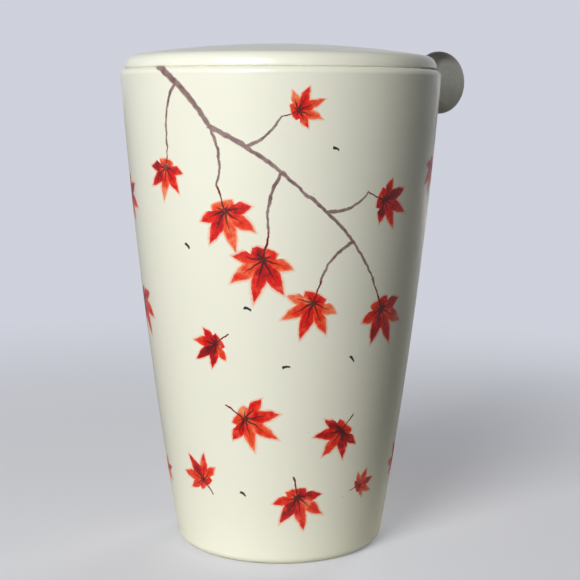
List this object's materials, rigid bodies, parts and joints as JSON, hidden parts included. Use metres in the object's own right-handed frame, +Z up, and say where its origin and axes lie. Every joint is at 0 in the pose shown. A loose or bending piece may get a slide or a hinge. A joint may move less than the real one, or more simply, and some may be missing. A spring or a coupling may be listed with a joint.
{
  "type": "tea mug",
  "caption": "Tall tapered two-walled ceramic tea mug without a handle, with a lift-out steel steeping basket and a low crowned lid hinged to the basket's collar.",
  "frame": {"origin": "centre of the foot, on the surface that the mug stands on", "axes": "+Z up along the cup's axis, +X towards the lid's hinge"},
  "size_m": [0.1085, 0.0888, 0.14],
  "materials": {
    "printed_glaze": "glossy ivory glaze with a printed decoration",
    "plain_glaze": "glossy ivory glaze",
    "steel": "fine brushed stainless steel",
    "hinge_metal": "dark satin stainless steel",
    "silicone": "matt translucent silicone",
    "nylon": "matt natural nylon"
  },
  "bodies": {
    "cup": {"cup_outer_wall": "printed_glaze", "cup_inner_wall": "plain_glaze", "vent_plug": "silicone"},
    "basket": {"seat_ring": "silicone", "basket_collar": "steel", "basket_wall": "steel", "basket_hoop": "steel", "basket_floor": "steel", "hinge_bracket": "hinge_metal", "bracket_rivets": "steel", "hinge_pin": "steel", "hinge_washers": "nylon", "hinge_caps": "hinge_metal"},
    "lid": {"lid_cap": "plain_glaze", "lid_liner": "steel", "lid_gasket": "silicone", "lid_arm": "hinge_metal", "arm_rivets": "steel"}
  },
  "joints": [
    {"name": "basket_lift", "type": "slide", "parent": "cup", "child": "basket", "axis": [0, 0, 1], "range_m": [0, 0.125]},
    {"name": "lid_hinge", "type": "hinge", "parent": "basket", "child": "lid", "pos_m": [0.05485, 0, 0.1302], "axis": [0, 1, 0], "range_deg": [0, 105]}
  ]
}
